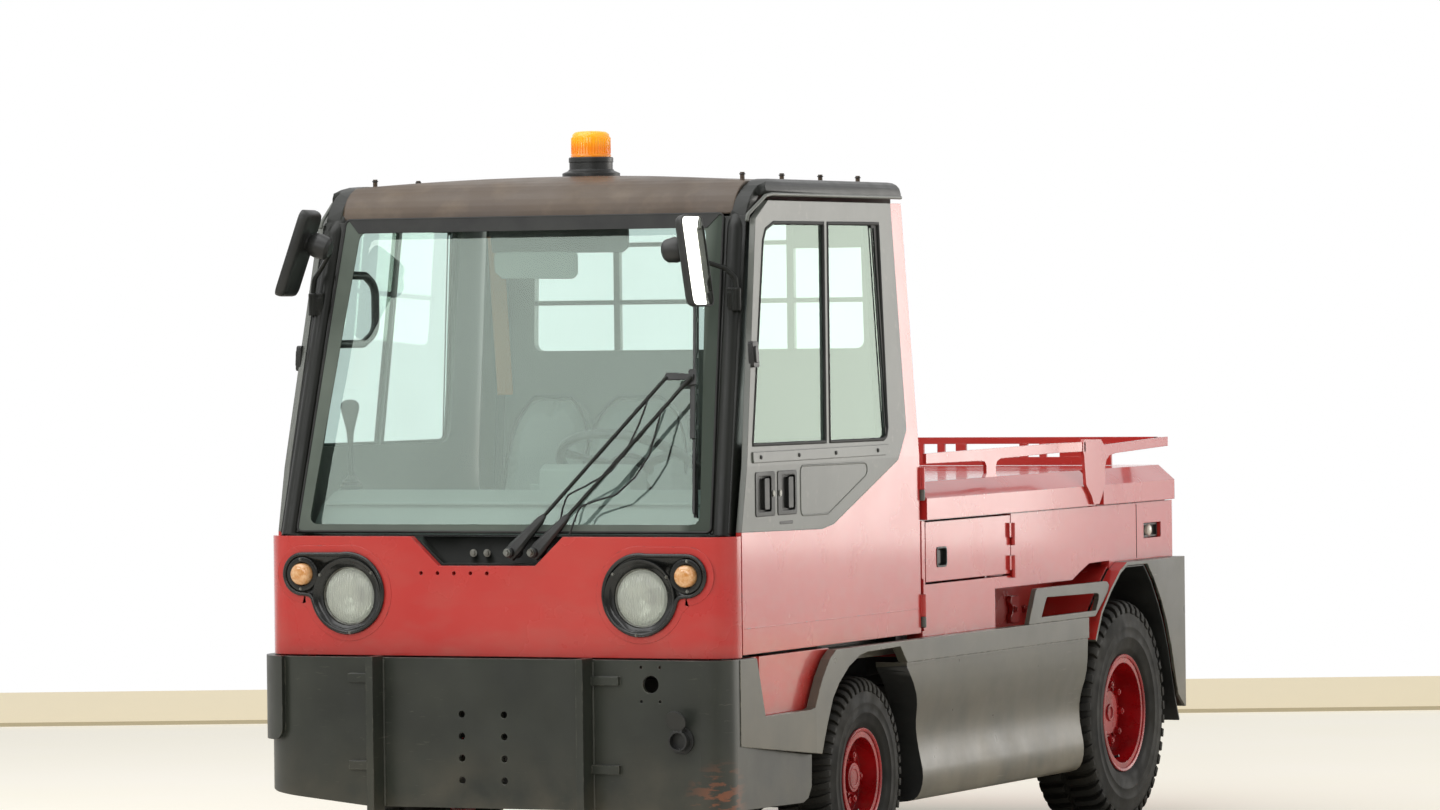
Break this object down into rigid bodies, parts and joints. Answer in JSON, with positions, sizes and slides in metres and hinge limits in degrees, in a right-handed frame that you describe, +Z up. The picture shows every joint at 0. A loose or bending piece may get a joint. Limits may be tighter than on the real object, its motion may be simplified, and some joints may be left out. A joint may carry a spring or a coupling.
{
  "type": "airport baggage tug",
  "caption": "Four-wheel electric tow tractor with a two-door cab, a flat load deck with a low rack, push bumper and rear tow coupling.",
  "frame": {"origin": "centre of the whole tug's box, on the ground", "axes": "+Z up; the tug faces -Y, so +Y is its rear; +X is its left side"},
  "size_m": [1.396, 3.36, 1.9716],
  "materials": {
    "paint_red": "glossy red enamel",
    "rim_red": "deep red enamel",
    "anthracite": "satin anthracite paint",
    "trim_grey": "satin dark grey paint",
    "black_paint": "satin black paint",
    "black_plastic": "moulded black plastic",
    "sash_grey": "satin grey paint",
    "roof_shell": "weathered brown-grey shell",
    "glass": "green tinted safety glass",
    "lamp_glass": "fluted lamp glass",
    "amber_lens": "amber lens",
    "red_lens": "red lens",
    "seat_vinyl": "grained dark grey vinyl",
    "dash_plastic": "moulded grey plastic",
    "tyre": "black rubber",
    "steel": "bright steel",
    "battery_case": "grey steel tray"
  },
  "bodies": {
    "body": {"chassis_frame": "black_paint", "front_bumper": "anthracite", "trailer_socket": "black_plastic", "front_panel": "paint_red", "lamp_pods": "black_plastic", "headlamps": "lamp_glass", "indicators": "amber_lens", "cab_floor": "trim_grey", "cab_frame": "black_paint", "roof": "roof_shell", "windscreen": "glass", "rear_wall": "sash_grey", "rear_window": "glass", "dashboard": "dash_plastic", "seat_cushions": "seat_vinyl", "seat_frames": "black_paint", "steering_column": "black_plastic", "cab_controls": "black_plastic", "beacon_base": "black_plastic", "beacon_lens": "amber_lens", "mirror_arms": "black_paint", "mirror_heads": "black_plastic", "wiper": "black_paint", "rear_body": "paint_red", "rear_deck": "paint_red", "rear_lamps": "red_lens", "rear_fenders": "trim_grey", "wheel_liners": "black_plastic", "side_trims": "trim_grey", "side_skirts": "trim_grey", "front_axle": "black_paint", "rear_axle": "black_paint", "battery": "battery_case", "tow_coupling": "black_paint"},
    "door_left": {"door_left": "paint_red", "sash_left": "sash_grey", "door_glass_left": "glass"},
    "door_right": {"door_right": "paint_red", "sash_right": "sash_grey", "door_glass_right": "glass"},
    "service_door": {"service_door": "paint_red"},
    "deck_lid": {"battery_cover": "paint_red", "load_rack": "paint_red"},
    "coupling_pin": {"coupling_pin": "steel"},
    "hand_wheel": {"steering_wheel": "black_plastic"},
    "knuckle_left": {"knuckle_left": "anthracite"},
    "knuckle_right": {"knuckle_right": "anthracite"},
    "tie_rod": {"tie_rod": "black_paint"},
    "wheel_front_left": {"tyre_front_left": "tyre", "rim_front_left": "rim_red"},
    "wheel_front_right": {"tyre_front_right": "tyre", "rim_front_right": "rim_red"},
    "wheel_rear_left": {"tyre_rear_left": "tyre", "rim_rear_left": "rim_red"},
    "wheel_rear_right": {"tyre_rear_right": "tyre", "rim_rear_right": "rim_red"}
  },
  "joints": [
    {"name": "door_left_hinge", "type": "hinge", "parent": "body", "child": "door_left", "pos_m": [0.664, -0.323, 0.9], "axis": [0, 0, 1], "range_deg": [0, 80]},
    {"name": "door_right_hinge", "type": "hinge", "parent": "body", "child": "door_right", "pos_m": [-0.664, -0.323, 0.9], "axis": [0, 0, -1], "range_deg": [0, 80]},
    {"name": "service_door_hinge", "type": "hinge", "parent": "body", "child": "service_door", "pos_m": [0.667, 0.315, 0.84], "axis": [0, 0, 1], "range_deg": [0, 100]},
    {"name": "deck_lid_hinge", "type": "hinge", "parent": "body", "child": "deck_lid", "pos_m": [-0.68, 0.312, 0.925], "axis": [0, -1, 0], "range_deg": [0, 75]},
    {"name": "coupling_pin_slide", "type": "slide", "parent": "body", "child": "coupling_pin", "axis": [0, 0, 1], "range_m": [0, 0.12]},
    {"name": "hand_wheel_turn", "type": "hinge", "parent": "body", "child": "hand_wheel", "pos_m": [0.15, -1.055, 1.085], "axis": [0, 0.5, 0.866], "continuous": true},
    {"name": "steer_left", "type": "hinge", "parent": "body", "child": "knuckle_left", "pos_m": [0.478, -0.715, 0.255], "axis": [0, 0, 1], "range_deg": [-30, 30]},
    {"name": "steer_right", "type": "hinge", "parent": "body", "child": "knuckle_right", "pos_m": [-0.478, -0.715, 0.255], "axis": [0, 0, 1], "range_deg": [-30, 30]},
    {"name": "tie_rod_pivot", "type": "hinge", "parent": "knuckle_left", "child": "tie_rod", "pos_m": [0.478, -0.585, 0.185], "axis": [0, 0, 1], "range_deg": [-30, 30]},
    {"name": "wheel_front_left_spin", "type": "hinge", "parent": "knuckle_left", "child": "wheel_front_left", "pos_m": [0.5825, -0.715, 0.265], "axis": [1, 0, 0], "continuous": true},
    {"name": "wheel_front_right_spin", "type": "hinge", "parent": "knuckle_right", "child": "wheel_front_right", "pos_m": [-0.5825, -0.715, 0.265], "axis": [1, 0, 0], "continuous": true},
    {"name": "wheel_rear_left_spin", "type": "hinge", "parent": "body", "child": "wheel_rear_left", "pos_m": [0.589, 1.145, 0.325], "axis": [1, 0, 0], "continuous": true},
    {"name": "wheel_rear_right_spin", "type": "hinge", "parent": "body", "child": "wheel_rear_right", "pos_m": [-0.589, 1.145, 0.325], "axis": [1, 0, 0], "continuous": true}
  ],
  "couplings": [
    {"joint": "steer_right", "follows": "steer_left", "ratio": 1},
    {"joint": "tie_rod_pivot", "follows": "steer_left", "ratio": -1}
  ]
}
